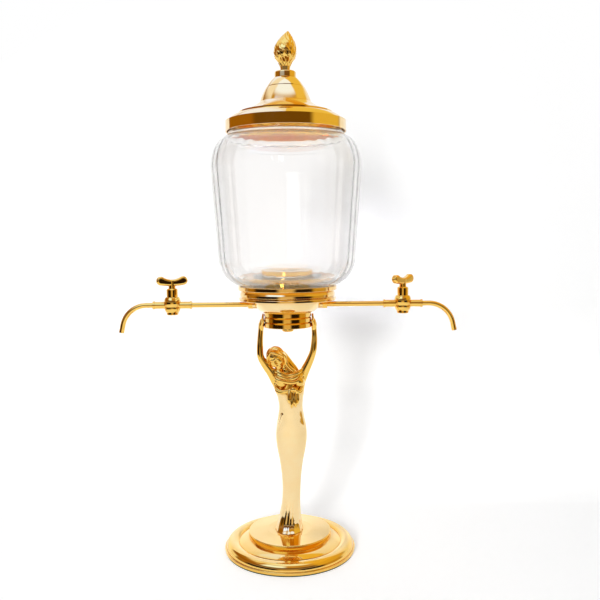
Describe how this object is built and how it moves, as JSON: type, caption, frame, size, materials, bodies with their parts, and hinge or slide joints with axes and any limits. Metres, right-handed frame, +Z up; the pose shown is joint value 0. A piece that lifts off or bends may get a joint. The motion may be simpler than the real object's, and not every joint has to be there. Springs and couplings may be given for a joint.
{
  "type": "absinthe fountain",
  "caption": "Gold-plated water fountain: a gowned figure on a round foot lifts a fluted glass jar with a domed lid, and side pipes end in plug taps with curved spouts.",
  "frame": {"origin": "centre of the foot's underside, on the surface that the fountain stands on", "axes": "+Z up, +X along the pipes to the right tap, the figure faces -Y"},
  "size_m": [0.3474, 0.1518, 0.53],
  "materials": {
    "gold_plate": "polished",
    "clear_glass": "clear",
    "seal_rubber": "matte",
    "felt": "felt",
    "steel": "zinc plated"
  },
  "bodies": {
    "stand": {"base": "gold_plate", "figure_body": "gold_plate", "left_arm": "gold_plate", "right_arm": "gold_plate", "drum": "gold_plate", "bottom_nut": "gold_plate", "manifold": "gold_plate", "collar": "gold_plate", "hub_plate": "gold_plate", "left_pipe": "gold_plate", "left_pipe_nut": "gold_plate", "left_tap_body": "gold_plate", "left_spout": "gold_plate", "right_pipe": "gold_plate", "right_pipe_nut": "gold_plate", "right_tap_body": "gold_plate", "right_spout": "gold_plate", "figure_bolt": "steel", "figure_washer": "steel", "hand_screws": "steel", "tie_rod": "steel", "manifold_nut": "steel", "rod_seal": "seal_rubber", "jar_seal_lower": "seal_rubber", "jar_seal_inner": "seal_rubber", "glass_jar": "clear_glass", "base_felt": "felt"},
    "left_key": {"left_plug": "gold_plate", "left_handle": "gold_plate", "left_plug_washer": "gold_plate", "left_plug_nut": "gold_plate"},
    "right_key": {"right_plug": "gold_plate", "right_handle": "gold_plate", "right_plug_washer": "gold_plate", "right_plug_nut": "gold_plate"},
    "lid": {"lid_band": "gold_plate", "lid_dome": "gold_plate", "finial_neck": "gold_plate", "finial": "gold_plate", "finial_stud": "steel", "finial_nut": "steel"}
  },
  "joints": [
    {"name": "left_tap_turn", "type": "hinge", "parent": "stand", "child": "left_key", "pos_m": [-0.1181, 0, 0.2578], "axis": [0, 0, 1], "continuous": true},
    {"name": "right_tap_turn", "type": "hinge", "parent": "stand", "child": "right_key", "pos_m": [0.1181, 0, 0.2578], "axis": [0, 0, 1], "continuous": true},
    {"name": "lid_lift", "type": "slide", "parent": "stand", "child": "lid", "axis": [0, 0, 1], "range_m": [0, 0.12]}
  ]
}
